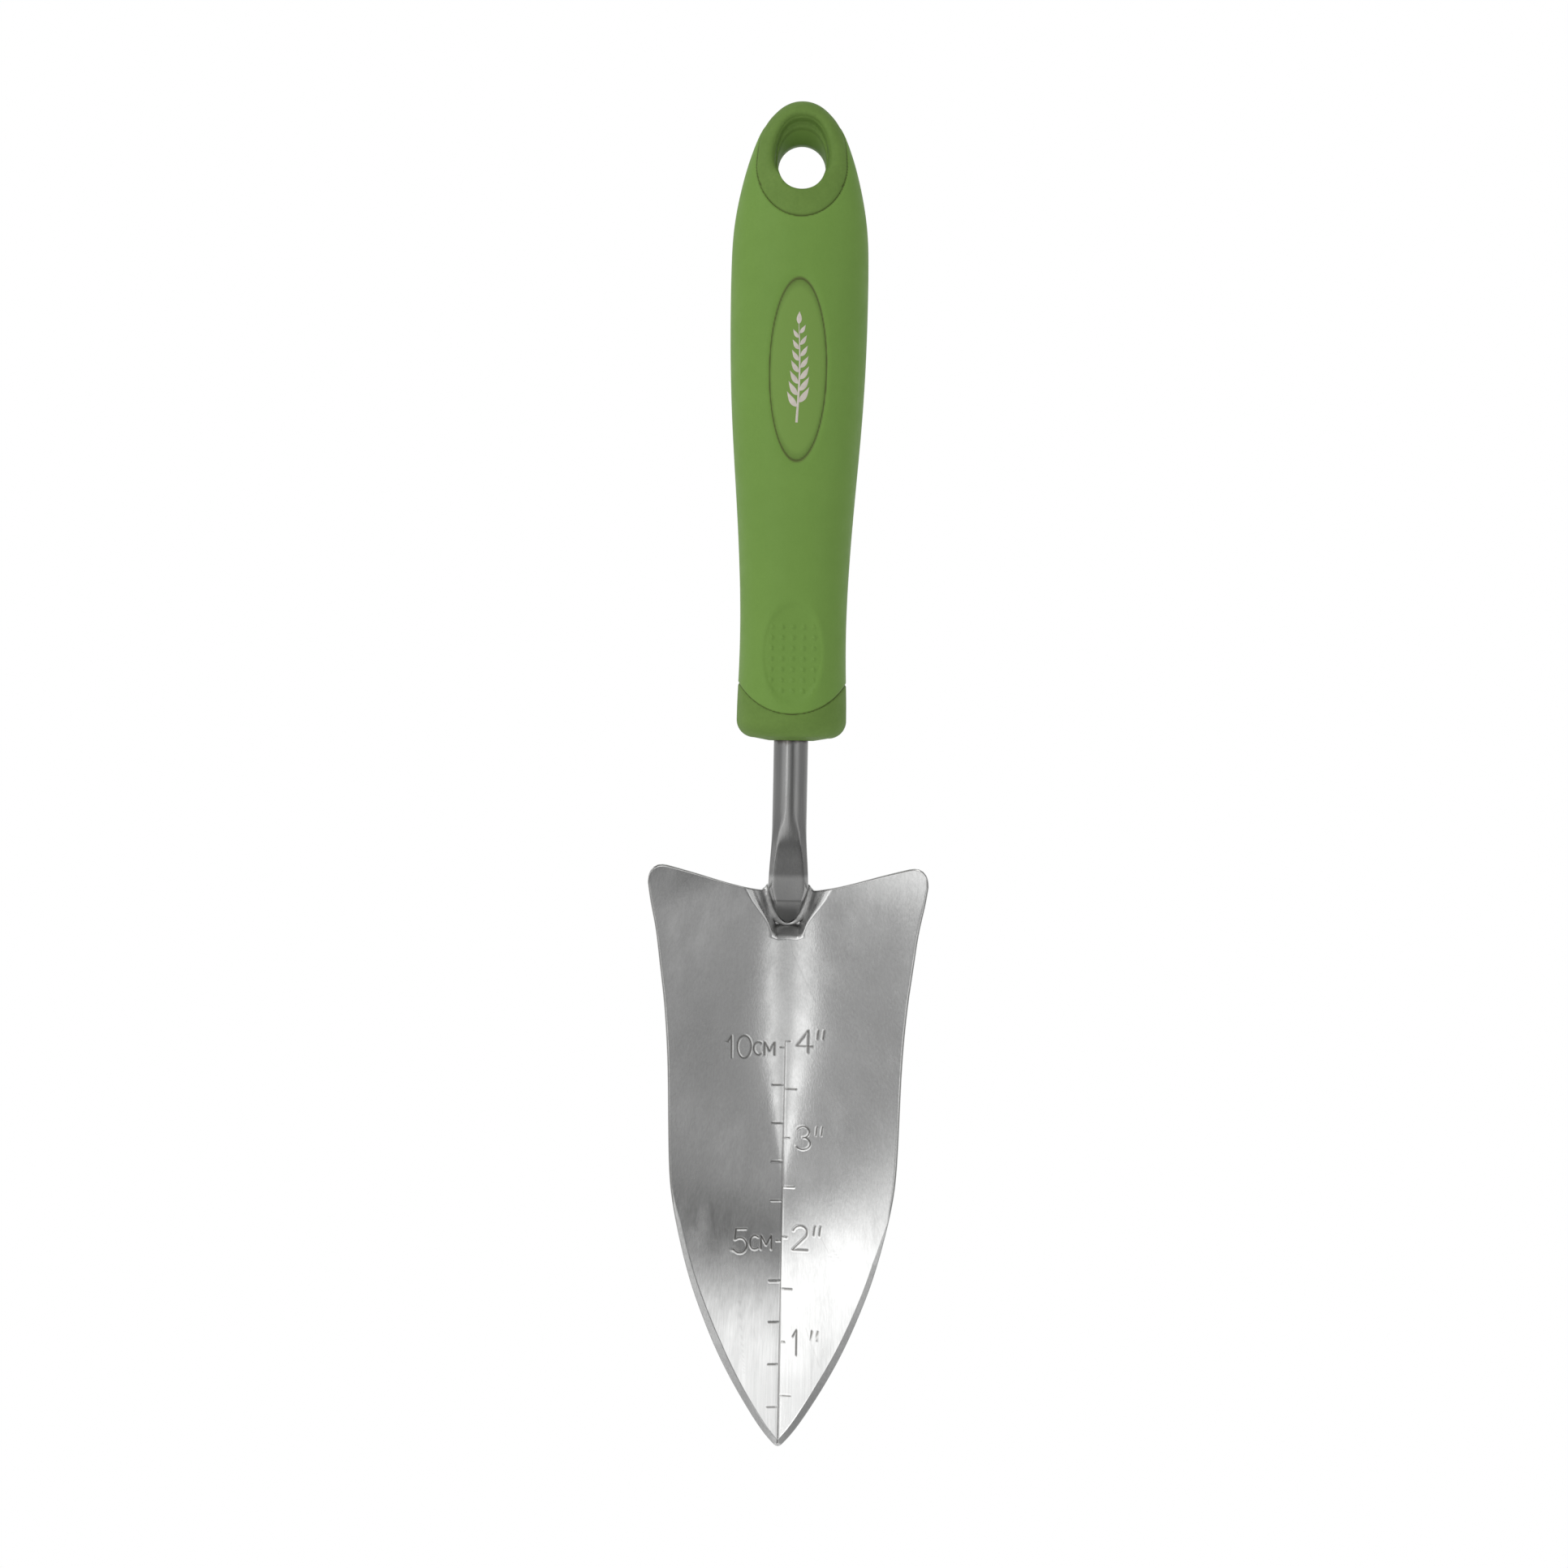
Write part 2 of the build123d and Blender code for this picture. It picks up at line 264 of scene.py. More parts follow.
def steel(name, base, dark, rough, grain, streaks):
    """Brushed steel: streaks along the grain, clouds of tone and gloss, a mask for painted highlights and a
    mask for dirt and painted shade.
    """
    material, tree, shader = principled(name)
    fine = texture(tree, 2600, 3, 0.6, grain)
    broad = texture(tree, 240, 4, 0.6, (1, 1, grain[2] * 2.4))
    cloud = texture(tree, 38, 5, 0.62, (1, 1, 0.55), offset=(0.3, 0, 0.1))
    patch = texture(tree, 95, 3, 0.5, (1, 1, 0.8), offset=(0, 0.2, 0.6))
    tone = mix(tree, spread(tree, cloud, 0.35, 0.68, 0, 1), base, dark)
    tone = mix(tree, spread(tree, broad, 0.35, 0.7, 0, 0.5 * streaks), tone, tuple(0.72 * c for c in base))
    pale = tuple(min(1, 1.25 * c) for c in base)
    tone = mix(tree, spread(tree, fine, 0.3, 0.72, 0, 0.35 * streaks), tone, pale)
    # painted highlight: this mask paints the steel much paler, on the pocket's side walls and on a band of
    # the tongue's front
    tone = mix(tree, mark(tree, "worn"), tone, tuple(min(1, 2.1 * c) for c in base))
    # darker mix: dark scratches, painted shade in the stamped grooves and along the blade's outline, and a
    # dark band on the rod under the collar
    tone = mix(tree, mark(tree, "dirt"), tone, (0.075, 0.07, 0.062))
    link(tree, tone, shader.inputs["Base Color"])
    shader.inputs["Metallic"].default_value = 1
    r = spread(tree, cloud, 0.3, 0.7, rough - 0.05, rough + 0.06)
    r = calc(tree, "ADD", r, spread(tree, broad, 0.3, 0.7, -0.03, 0.05))
    r = calc(tree, "ADD", r, spread(tree, patch, 0.45, 0.75, 0, 0.06))
    r = calc(tree, "ADD", r, calc(tree, "MULTIPLY", mark(tree, "matt"), 0.2))
    link(tree, r, shader.inputs["Roughness"])
    n = bump(tree, fine, 0.00004, 0.35)
    n = bump(tree, broad, 0.00008, 0.18, n)
    link(tree, n, shader.inputs["Normal"])
    return material


def rubber(name, base, light, dark, rough, grain_scale, grain_depth, seam):
    """Moulded green plastic or rubber with a fine grain, darker seams with painted shade in recesses, and a
    paler tone that also paints light into the hang hole.
    """
    material, tree, shader = principled(name)
    cloud = texture(tree, 30, 4, 0.6)
    mottle = texture(tree, 240, 3, 0.6)
    grain = texture(tree, grain_scale, 2, 0.5)
    tone = mix(tree, spread(tree, cloud, 0.3, 0.7, 0, 1), base, light)
    tone = mix(tree, spread(tree, mottle, 0.35, 0.75, 0, 0.35), tone, dark)
    tone = mix(tree, spread(tree, grain, 0.35, 0.75, 0, 0.3), tone, dark)
    # paler mix: the badge's face, and painted light on the hang hole's bore wall
    tone = mix(tree, mark(tree, "face"), tone, tuple(1.22 * c for c in base))
    # darker mix: dark seam lines, and painted shade in the recess round the shank
    tone = mix(tree, mark(tree, "dirt"), tone, seam)
    link(tree, tone, shader.inputs["Base Color"])
    r = spread(tree, mottle, 0.3, 0.7, rough - 0.05, rough + 0.05)
    r = calc(tree, "ADD", r, spread(tree, cloud, 0.3, 0.7, -0.03, 0.04))
    link(tree, r, shader.inputs["Roughness"])
    shader.inputs["Specular IOR Level"].default_value = 0.14 if rough < 0.55 else 0.1
    n = bump(tree, grain, grain_depth, 0.5)
    n = bump(tree, mottle, 0.0001, 0.12, n)
    link(tree, n, shader.inputs["Normal"])
    return material


# ------------------------------------------------------------------ handle shape
hole_radius = 5.4
handle_top = 14.9
handle_bottom = -125.8
bottom_round = 4.0
end_dome = 0.6
collar_end = handle_bottom - bottom_round - end_dome
section_power = 2.25
# height, width, depth, shift towards the back
stations = [
    (14.5, 4.9, 4.4, 0.0),
    (13.5, 8.9, 7.6, 0.0),
    (12.0, 12.4, 10.2, 0.0),
    (10.0, 15.8, 12.2, 0.0),
    (7.3, 19.1, 13.8, 0.0),
    (3.65, 22.1, 15.3, 0.05),
    (0.0, 24.5, 16.7, 0.1),
    (-5.0, 27.1, 18.7, 0.2),
    (-10.0, 29.1, 20.7, 0.3),
    (-16.0, 30.6, 22.8, 0.4),
    (-23.0, 31.15, 24.8, 0.5),
    (-32.0, 31.2, 26.6, 0.6),
    (-44.0, 30.8, 27.6, 0.6),
    (-59.0, 29.4, 27.2, 0.5),
    (-74.0, 27.2, 25.8, 0.4),
    (-88.0, 25.3, 24.6, 0.3),
    (-103.0, 24.15, 23.8, 0.1),
    (-115.0, 24.35, 23.9, 0.0),
    (-122.0, 24.8, 24.3, 0.0),
    (handle_bottom, 24.9, 24.4, 0.0),
]
mirrored = [(z, -w, -d, s) for z, w, d, s in stations[2::-1]]
profile = knots(mirrored + [(handle_top, 0, 0, 0)] + stations, np.linspace(0, 1, 9000))
profile = profile[np.argmax(profile[:, 0]):]
profile = profile[profile[:, 1] >= 0]


def section(z):
    """Width, depth and shift of the handle at height z."""
    rising = profile[::-1]
    return [np.interp(z, rising[:, 0], rising[:, k]) for k in (1, 2, 3)]


def outline_at(turns, w, d, s):
    """X and Y of the handle's section of this width, depth and shift."""
    c, t = np.cos(turns), np.sin(turns)
    x = w / 2 * np.sign(c) * np.abs(c) ** (2 / section_power)
    y = d / 2 * np.sign(t) * np.abs(t) ** (2 / section_power) + s
    return x, y


def wall(x, z, way):
    """Y of the handle's surface, front (way -1) or back (way 1)."""
    w, d, s = section(z)
    flat = np.clip(1 - np.abs(2 * x / np.maximum(w, 1e-6)) ** section_power, 0, 1) ** (1 / section_power)
    return s + way * d / 2 * flat


def handle_grid(heights, turns):
    w, d, s = (v[:, None] for v in section(heights))
    x, y = outline_at(turns[None], w, d, s)
    return np.stack([x, y, np.broadcast_to(heights[:, None], x.shape)], axis=-1)


def columns(front, side, back):
    """Turns round the handle: fine in the middle of the front (-Y, turn 270 degrees), coarser behind."""
    half = spaced((0, 8.0, front), (8.0, 21.0, side), (21.0, 42.0, back)) / 42.0 * math.pi
    both = np.concatenate([-half[::-1][:-1], half])[:-1]
    return both - math.pi / 2


# outlines of the windows in the sleeve
side = knots([(10.4, 0), (9.0, 8.0), (5.6, 13.6), (3.6, 18.0)], np.linspace(0, 1, 40))
bowl_turns = np.linspace(math.pi, 2 * math.pi, 60)[1:-1]
bowl = np.stack([10.4 * np.cos(bowl_turns), 12.2 * np.sin(bowl_turns)], axis=1)
eye_outline = np.concatenate([side, (side * (-1, 1))[::-1], bowl])
collar_radius = (13.2**2 + 9.1**2) / (2 * 9.1)
collar_centre = -124.6 + collar_radius
badge_half = (6.55, 20.6)
badge_centre = -47.0
badge_sunk = 0.22


def seam_fields(p):
    """Surface distances to the three seams; positive inside the eyelet, the collar and the badge."""
    x, z = p[..., 0], p[..., 2]
    eye = surface_distance(polygon_distance(x, z, eye_outline), p)
    from_centre = np.hypot(np.clip(x, -12.8, 12.8), np.minimum(z - collar_centre, 0))
    collar = surface_distance(from_centre - collar_radius, p)
    badge = surface_distance(1 - np.hypot(x / badge_half[0], (z - badge_centre) / badge_half[1]), p)
    badge = np.where(p[..., 1] < 0, badge, -50)
    return eye, collar, badge


def shoulder(inside, depth, width, steep=1.6):
    """How far an edge drops: rounded over its own side, then steep past the seam."""
    own = depth * np.clip(1 - inside / width, 0, 1) ** 2
    return np.where(inside >= 0, own, depth - steep * inside)


rest_centre, rest_half_height, rest_depth = -110.5, 12.4, 1.3
rest_hollow = rest_half_height**2 / (2 * rest_depth) + rest_depth / 2
_, rest_thick, rest_shift = section(np.array([rest_centre]))
rest_floor = float(rest_shift[0] - rest_thick[0] / 2) + rest_depth


def sleeve_surface():
    """The grip's outer skin with its three windows and the thumb rest; the wall is added later."""
    heights = spaced(
        (handle_top - 0.02, 12.0, 0.2),
        (12.0, -14.5, 0.34),
        (-14.5, -24, 1.5),
        (-24, -68.5, 0.36),
        (-68.5, -96, 1.8),
        (-96, -98.6, 0.6),
        (-98.6, -126.2, 0.24),
    )
    turns = columns(0.21, 0.42, 0.62)
    p = handle_grid(heights, turns)
    n = normals(p, True)
    n *= np.sign((n * (p - p.mean(axis=1, keepdims=True))).sum(-1, keepdims=True))
    eye, collar, badge = seam_fields(p)
    drop = np.zeros(eye.shape)
    for inside, depth, width in ((-eye, 0.26, 0.5), (-collar, 0.26, 0.5), (-badge, 0.34, 0.7)):
        drop = np.maximum(drop, shoulder(inside, depth, width))
    dirt = np.zeros(eye.shape)
    for inside, width in ((-eye, 0.13), (-collar, 0.12), (-badge, 0.12)):
        dirt = np.maximum(dirt, 1 - smooth(inside, 0.0, width))
    # thumb rest: shallow dish with soft rim, and raised dots
    off = p[..., 2] - rest_centre
    bowl_y = rest_floor - rest_hollow + np.sqrt(np.maximum(rest_hollow**2 - off**2, 0))
    front = (p[..., 1] < 0) & (np.abs(off) < 16)
    sunk = soft_max(p[..., 1], bowl_y, 0.4)
    inside_rest = bowl_y - p[..., 1]
    oval = np.hypot(p[..., 0] / 6.8, (off + 0.4) / 11.3)
    p[..., 1] = np.where(front, np.maximum(p[..., 1], sunk), p[..., 1])
    rim = 0.26 * smooth(oval, 1.04, 0.9) - 0.05 * np.exp(-(((oval - 1.1) / 0.06) ** 2))
    p[..., 1] += np.where(front, rim, 0)
    dot = np.zeros(eye.shape)
    for row in range(7):
        for column in range(5):
            cx, cz = (column - 2) * 2.4, rest_centre + (3 - row) * 2.4 - 1.6
            r2 = (p[..., 0] - cx) ** 2 + (p[..., 2] - cz) ** 2
            dot = np.maximum(dot, np.exp(-((r2 / 0.42**2) ** 1.3)))
    fade = smooth(inside_rest, 0.05, 0.5) * front
    p[..., 1] -= 0.34 * dot * fade
    p -= n * np.minimum(drop, 1.9)[..., None]
    own = np.minimum(np.minimum(-eye, -collar), -badge)
    b = Build()
    ids = b.add(p, dirt=np.clip(dirt, 0, 1) * (own > -0.3))
    b.grid(ids, True, own > -0.7)
    return b


def core_body():
    """The core below the eyelet: hidden under the sleeve, showing in the badge and at the collar."""
    heights = spaced(
        (-8.5, -23.0, 2.0), (-23.0, -69.0, 0.4), (-69.0, -112, 3.0), (-112.0, handle_bottom, 0.3)
    )
    turns = columns(0.26, 0.45, 0.75)
    p = handle_grid(heights, turns)
    n = normals(p, True)
    n *= np.sign((n * (p - p.mean(axis=1, keepdims=True))).sum(-1, keepdims=True))
    _, collar, badge = seam_fields(p)
    low = np.minimum(shoulder(collar, 0.26, 0.5), badge_sunk + shoulder(badge, 0.14, 0.8))
    drop = np.minimum(low, 2.0)
    own = np.maximum(collar, badge)
    dirt = 1 - smooth(own, 0.0, 0.12)
    p -= n * drop[..., None]
    face = smooth(badge, 0.1, 0.5)
    rows = [p]
    marks = [dirt]
    # rounded lower edge
    w, d, s = section(np.array([handle_bottom]))
    for angle in np.radians(np.linspace(5, 90, 14)):
        shrink = 2 * bottom_round * (1 - math.cos(angle))
        x, y = outline_at(turns, w - shrink, d - shrink, s)
        z = np.full(x.shape, handle_bottom - bottom_round * math.sin(angle))
        rows.append(np.stack([x, y, z], axis=-1)[None])
        marks.append(np.zeros((1, len(turns))))
    outer = rows[-1][0]
    # the end face, slightly domed, then the recess round the shank; painted shade darkens it from the mouth
    # ring down to its floor

    def round_ring(radius, rise):
        height = np.full(turns.shape, collar_end + rise)
        return np.stack([radius * np.cos(turns), radius * np.sin(turns), height], axis=-1)

    mouth = round_ring(5.1, 0.0)
    for share in (0.3, 0.6, 0.85, 1.0):
        rows.append((outer * (1 - share) + mouth * share)[None])
        marks.append(np.full((1, len(turns)), 0.35 if share == 1.0 else 0.0))
    # radius, rise and how dark each ring is painted: painted shade, darker deeper in the recess
    recess = ((4.9, 0.05, 0.4), (4.75, 0.2, 0.5), (4.7, 0.5, 0.7), (4.68, 1.6, 1.0), (3.6, 1.75, 1.0))
    for radius, rise, painted_recess_shade in recess:
        rows.append(round_ring(radius, rise)[None])
        marks.append(np.full((1, len(turns)), painted_recess_shade))
    grid, dirt = np.concatenate(rows), np.concatenate(marks)
    return grid, dirt, np.pad(face, ((0, len(grid) - len(face)), (0, 0)))


def eyelet():
    """The top of the core: a ring round the hang hole, out to the U-shaped seam and over the crown."""
    count = 300
    turns = np.linspace(0, 2 * math.pi, count, endpoint=False)
    cx, cz = np.cos(turns), np.sin(turns)

    def reach(test):
        low, high = np.full(count, 1.0), np.full(count, 60.0)
        for _ in range(40):
            mid = (low + high) / 2
            ok = test(mid * cx, mid * cz)
            low, high = np.where(ok, mid, low), np.where(ok, high, mid)
        return low

    silhouette = reach(lambda x, z: (z < handle_top) & (np.abs(x) < section(z)[0] / 2))
    seam = reach(lambda x, z: polygon_distance(x, z, eye_outline) > 0)
    far = np.minimum(silhouette, seam + 1.1)

    low_rim = hole_radius + 0.6 * smooth(-cz, 0.2, 1.0)

    def arch(half, high, square=2.0):
        """Reach of an arch of this half width and height; round of the hole's size below the middle."""
        tall = (np.abs(cx / half) ** square + np.abs(cz / high) ** square) ** (-1 / square)
        return np.where(cz > 0, tall, low_rim + (half - hole_radius) * smooth(cz, -0.7, 0))

    # an arched mouth, two steps down to the slanted throat; only a rounded rim below the hole
    up = smooth(cz, -0.55, 0.35)
    crown = np.minimum(arch(10.4, 14.3), far - 0.3)
    mouth = arch(6.3, 11.1, 2.3)
    ledge = arch(5.9, 10.0, 2.2)
    throat = arch(5.5, 8.4, 2.2)
    lip = 0.5 * (1 - up)
    rings = []
    for share in np.linspace(0, 1, 10)[:-1]:
        rings.append((far + (crown - far) * share, 0.0))
    for share in np.linspace(0, 1, 16)[:-1]:
        rings.append((crown + (mouth - crown) * share, 3.0 * (1 - math.sqrt(1 - share**2 * 0.97)) * up))
    for share in np.linspace(0, 1, 9)[:-1]:
        dip = (2.5 + 2.2 * smooth(share, 0, 1)) * up + lip * share**2
        rings.append((mouth + (ledge - mouth) * share, dip))
    for share in np.linspace(0, 1, 7):
        dip = (4.7 + 0.35 * share + 0.8 * smooth(share, 0.6, 1.0)) * up + lip
        rings.append((ledge + (throat - ledge) * share, dip))
    rows, marks = [], []
    for r, dip in rings[::-1]:
        x, z = r * cx, r * cz
        rows.append(np.stack([x, wall(x, z, -1) + dip, z], axis=-1))
        marks.append(np.zeros(count))
    shares = spaced((0, 1, 1 / 34))
    front = np.array(rows)
    back_rows = []
    for share in shares[::-1]:
        r = low_rim + (far - low_rim) * np.sin(share * math.pi / 2) ** 0.9
        x, z = r * cx, r * cz
        y = wall(x, z, 1) - 0.7 * np.clip(1 - (r - low_rim) / 1.0, 0, 1) ** 2
        back_rows.append(np.stack([x, y, z], axis=-1))
    back = np.array(back_rows)
    for grid in (front, back):
        g = polygon_distance(grid[..., 0], grid[..., 2], eye_outline)
        inside = surface_distance(g, grid)
        open_side = (silhouette > seam)[None] | (inside < 0.5)
        drop = np.minimum(shoulder(inside, 0.26, 0.5), 1.7) * open_side
        # towards the middle of the handle
        centre = np.stack([grid[..., 0] * 0.6, np.zeros(g.shape), grid[..., 2] * 0.9 - 1], axis=-1)
        inward = centre - grid
        inward /= np.maximum(np.linalg.norm(inward, axis=-1, keepdims=True), 1e-9)
        n = normals(grid, True)
        n *= np.sign((n * inward).sum(-1, keepdims=True))
        grid += n * drop[..., None]
        marks.append((1 - smooth(inside, 0.0, 0.13)) * open_side)
    dirt = np.concatenate([marks[-2], marks[-1]])
    # bore wall, from the back rim to the throat
    bore = []
    for share in np.linspace(0, 1, 18)[1:-1]:
        y = back[-1, :, 1] * (1 - share) + front[0, :, 1] * share
        r = hole_radius + (throat - hole_radius) * np.clip((share - 0.5) / 0.5, 0, 1)
        bore.append(np.stack([r * cx, y, r * cz], axis=-1))
    bore = np.array(bore)
    grid = np.concatenate([front, back, bore])
    dirt = np.concatenate([dirt, np.zeros(bore.shape[:2])])
    face = np.zeros(dirt.shape)
    # painted light: the bore wall is made paler, standing in for light falling into the hole
    face[-len(bore):] = 1.3
    return grid, dirt, face


core_material = rubber(
    "core_plastic",
    base=(0.125, 0.21, 0.048),
    light=(0.134, 0.225, 0.05),
    dark=(0.09, 0.158, 0.034),
    rough=0.58,
    grain_scale=1500,
    grain_depth=0.00006,
    seam=(0.062, 0.076, 0.022),
)
grip_material = rubber(
    "grip_rubber",
    base=(0.139, 0.249, 0.051),
    light=(0.151, 0.269, 0.055),
    dark=(0.122, 0.224, 0.044),
    rough=0.52,
    grain_scale=2300,
    grain_depth=0.00002,
    seam=(0.075, 0.09, 0.026),
)

sleeve = sleeve_surface().make("grip_sleeve_soft", "grip_sleeve", "grip_rubber", grip_material)
shell = sleeve.modifiers.new("wall", "SOLIDIFY")
shell.thickness = 1.5 * MM
shell.offset = -1

body = Build()
grid, dirt, face = core_body()
ids = body.add(grid, dirt=dirt, face=face)
body.grid(ids, True)
# caps at both ends, painted fully dark: the lower one is painted shade at the floor of the recess round the
# shank, the upper one is hidden
for ring, height in ((ids[0], -8.5), (ids[-1], -128.0)):
    middle = body.add(np.array([[0.0, 0.0, height]]), dirt=np.ones(1))
    body.fan(ring, middle[0])
grid, dirt, face = eyelet()
ids = body.add(grid, dirt=dirt, face=face)
body.grid(np.concatenate([ids, ids[:1]]), True)
body.make("handle_core_moulding", "handle_core", "core_plastic", core_material)


# printed sprig on the badge: thin ink shapes that follow its face
def sprig():
    """A stem with seven pairs of leaves and one at the tip."""
    b = Build()
    up = np.linspace(0, 1, 60)
    stem_x = 0.35 * np.sin(up * 3.6 - 0.4)
    stem_z = badge_centre - 12.0 + 22.5 * up

    def ribbon(x, z, half):
        """Flat closed shape of this half width along a line, slightly raised."""
        dx, dz = np.gradient(x), np.gradient(z)
        size = np.hypot(dx, dz)
        sides = np.linspace(-1, 1, 9)[None]
        px = x[:, None] - (dz / size * half)[:, None] * sides
        pz = z[:, None] + (dx / size * half)[:, None] * sides
        lift = 0.05 * (1 - sides**6) + np.zeros(px.shape)
        lift[0] = lift[-1] = 0
        py = wall(px, pz, -1) + badge_sunk - 0.012 - lift
        ids = b.add(np.stack([px, py, pz], axis=-1), dirt=np.zeros(px.shape))
        b.grid(ids)

    ribbon(stem_x, stem_z, 0.05 + 0.22 * (1 - up) ** 0.6)
    t = np.linspace(0, 1, 26)
    for step in range(7):
        share = 0.16 + 0.115 * step
        for way in (-1, 1):
            at = share + (0.045 if way > 0 else 0.0)
            x0, z0 = np.interp(at, up, stem_x), np.interp(at, up, stem_z)
            length = 3.5 - 0.26 * step
            x = x0 + way * (0.12 + length * 0.66 * t**0.9)
            z = z0 + length * 0.95 * t ** 1.25
            ribbon(x, z, 0.03 + 0.62 * np.sin(math.pi * t**0.8) ** 1.2 * (1 - 0.06 * step))
    tip_x = np.interp(0.985, up, stem_x)
    ribbon(tip_x + 0.1 * t, stem_z[-2] + 2.9 * t, 0.03 + 0.55 * np.sin(math.pi * t**0.8) ** 1.2)
    return b


ink, tree, shader = principled("badge_ink")
speck = texture(tree, 900, 3, 0.6)
tone = mix(tree, spread(tree, speck, 0.3, 0.7, 0, 1), (0.53, 0.485, 0.43), (0.45, 0.41, 0.36))
link(tree, tone, shader.inputs["Base Color"])
link(tree, spread(tree, speck, 0.3, 0.7, 0.42, 0.6), shader.inputs["Roughness"])
sprig().make("badge_sprig_print", None, None, ink, merge=0.001)


# ------------------------------------------------------------------ blade law
sheet = 1.5
tip_y, scale_zero_z = 40.8, -297.0
wing_slope, wing_curl = 0.30, 0.0048
channel_round, crease_sharp_z = 5.0, -206.0


def crease_slope(along):
    """Lean of the crease from the vertical, at a distance from the tip measured along it."""
    share = along / 100
    if along <= 100:
        return math.radians(-7.5 + 53 * share - 18.5 * share**2)
    past = min(along - 100, 45)
    return math.radians(27.0 + 0.05 * past - 0.0045 * past**2)


crease = [(0.0, tip_y, scale_zero_z)]
while crease[-1][0] < 180:
    along, y, z = crease[-1]
    lean = crease_slope(along + 0.25)
    crease.append((along + 0.5, y - 0.5 * math.sin(lean), z + 0.5 * math.cos(lean)))
crease = np.array(crease)


def blade_front(x, z):
    """Y of the blade's hollow face: a V about the crease, with wings that curl."""
    soft = channel_round * smooth(z, crease_sharp_z - 36, crease_sharp_z + 24) + 0.02
    return np.interp(z, crease[:, 2], crease[:, 1]) - wing_slope * np.hypot(x, soft) - wing_curl * x * x


def slopes(x, z):
    """Slope of the hollow face across and up."""
    gx = (blade_front(x + 0.05, z) - blade_front(x - 0.05, z)) / 0.1
    gz = (blade_front(x, z + 0.2) - blade_front(x, z - 0.2)) / 0.4
    return gx, gz


# height, half width at the face, half width of the floor, Y of the floor
pocket = np.array(
    [
        (-154.0, 12.3, 7.1, 3.5),
        (-158.0, 10.57, 6.18, 4.64),
        (-172.4, 4.1, 2.8, 8.67),
        (-174.8, 3.3, 2.4, 5.2),
        (-180.0, 2.0, 1.6, -2.0),
    ]
)


def trough(x, z, grow):
    """Y of the pressed pocket's wall; far in front where there is none."""
    rising = pocket[::-1]
    zz = np.where(z < -172.4, z + grow, z)
    face, floor, y = (np.interp(zz, rising[:, 0], rising[:, k]) for k in (1, 2, 3))
    rise = np.maximum(y - blade_front(face, z), 0.4)
    lean = np.clip((face - floor) / rise, 0.12, 1.0)
    low = floor + grow * (np.hypot(1, lean) - lean)
    side = np.maximum(np.abs(x) - low, 0)
    return y + grow - side / lean


# half width and height of the outline, from the top corner to the tip
edge = knots(
    [
        (31.45, -163.0),
        (30.9, -166.8),
        (29.8, -172.6),
        (28.8, -180.5),
        (27.9, -188.3),
        (27.25, -196.0),
        (26.8, -205.0),
        (26.6, -215.0),
        (26.4, -225.0),
        (25.9, -234.0),
        (24.7, -241.7),
        (23.0, -249.5),
        (20.9, -257.2),
        (18.2, -264.9),
        (15.0, -272.7),
        (11.1, -280.5),
        (6.5, -288.3),
        (1.0, -295.6),
        (0.45, -296.05),
        (0.0, -296.2),
    ],
    np.linspace(0, 1, 900),
)
top = np.concatenate(
    [
        knots(
            [(0.0, -165.1), (5.2, -164.7), (13.3, -163.1), (20.8, -160.9), (27.7, -159.0)],
            np.linspace(0, 1, 400),
        ),
        knots([(27.7, -159.0), (29.6, -159.15), (31.0, -160.6), (31.45, -163.0)], np.linspace(0, 1, 40))[1:],
    ]
)
top[:, 1] += 1.5 * np.exp(-(((top[:, 0] - 4.6) / 0.75) ** 2)) * (top[:, 0] > 4.6) + 1.5 * (top[:, 0] <= 4.6)


def half_width(z):
    return np.interp(z, edge[::-1, 1], edge[::-1, 0])


# ---- depth scale: single strokes, in mm across and mm along the crease
def arc(cx, cz, rx, rz, start, end, n=14):
    """Points of part of an ellipse, angles in degrees."""
    t = np.radians(np.linspace(start, end, n))
    return [(cx + rx * math.cos(a), cz + rz * math.sin(a)) for a in t]


def glyph(kind, x, z, w, h):
    """Strokes of one figure in the box with lower left corner (x, z)."""
    shapes = {
        "0": [arc(0.5, 0.5, 0.5, 0.5, 0, 360, 24)],
        "1": [[(0.0, 0.72), (0.55, 1.0), (0.55, 0.0)]],
        "2": [arc(0.48, 0.72, 0.46, 0.28, 165, -35, 14) + [(0.0, 0.0), (1.0, 0.0)]],
        "3": [arc(0.44, 0.76, 0.44, 0.24, 150, -90, 14) + arc(0.44, 0.26, 0.52, 0.26, 90, -150, 14)],
        "4": [[(0.72, 0.0), (0.72, 1.0), (0.0, 0.3), (1.0, 0.3)]],
        "5": [[(0.92, 1.0), (0.16, 1.0), (0.08, 0.56)] + arc(0.46, 0.32, 0.5, 0.32, 125, -150, 14)],
        "c": [arc(0.55, 0.5, 0.55, 0.5, 50, 310, 16)],
        "m": [[(0.0, 0.0), (0.0, 1.0), (0.5, 0.3), (1.0, 1.0), (1.0, 0.0)]],
        "i": [[(0.28, 0.62), (0.38, 1.0)], [(0.85, 0.62), (0.95, 1.0)]],
    }
    return [[(x + w * u, z + h * v) for u, v in line] for line in shapes[kind]]


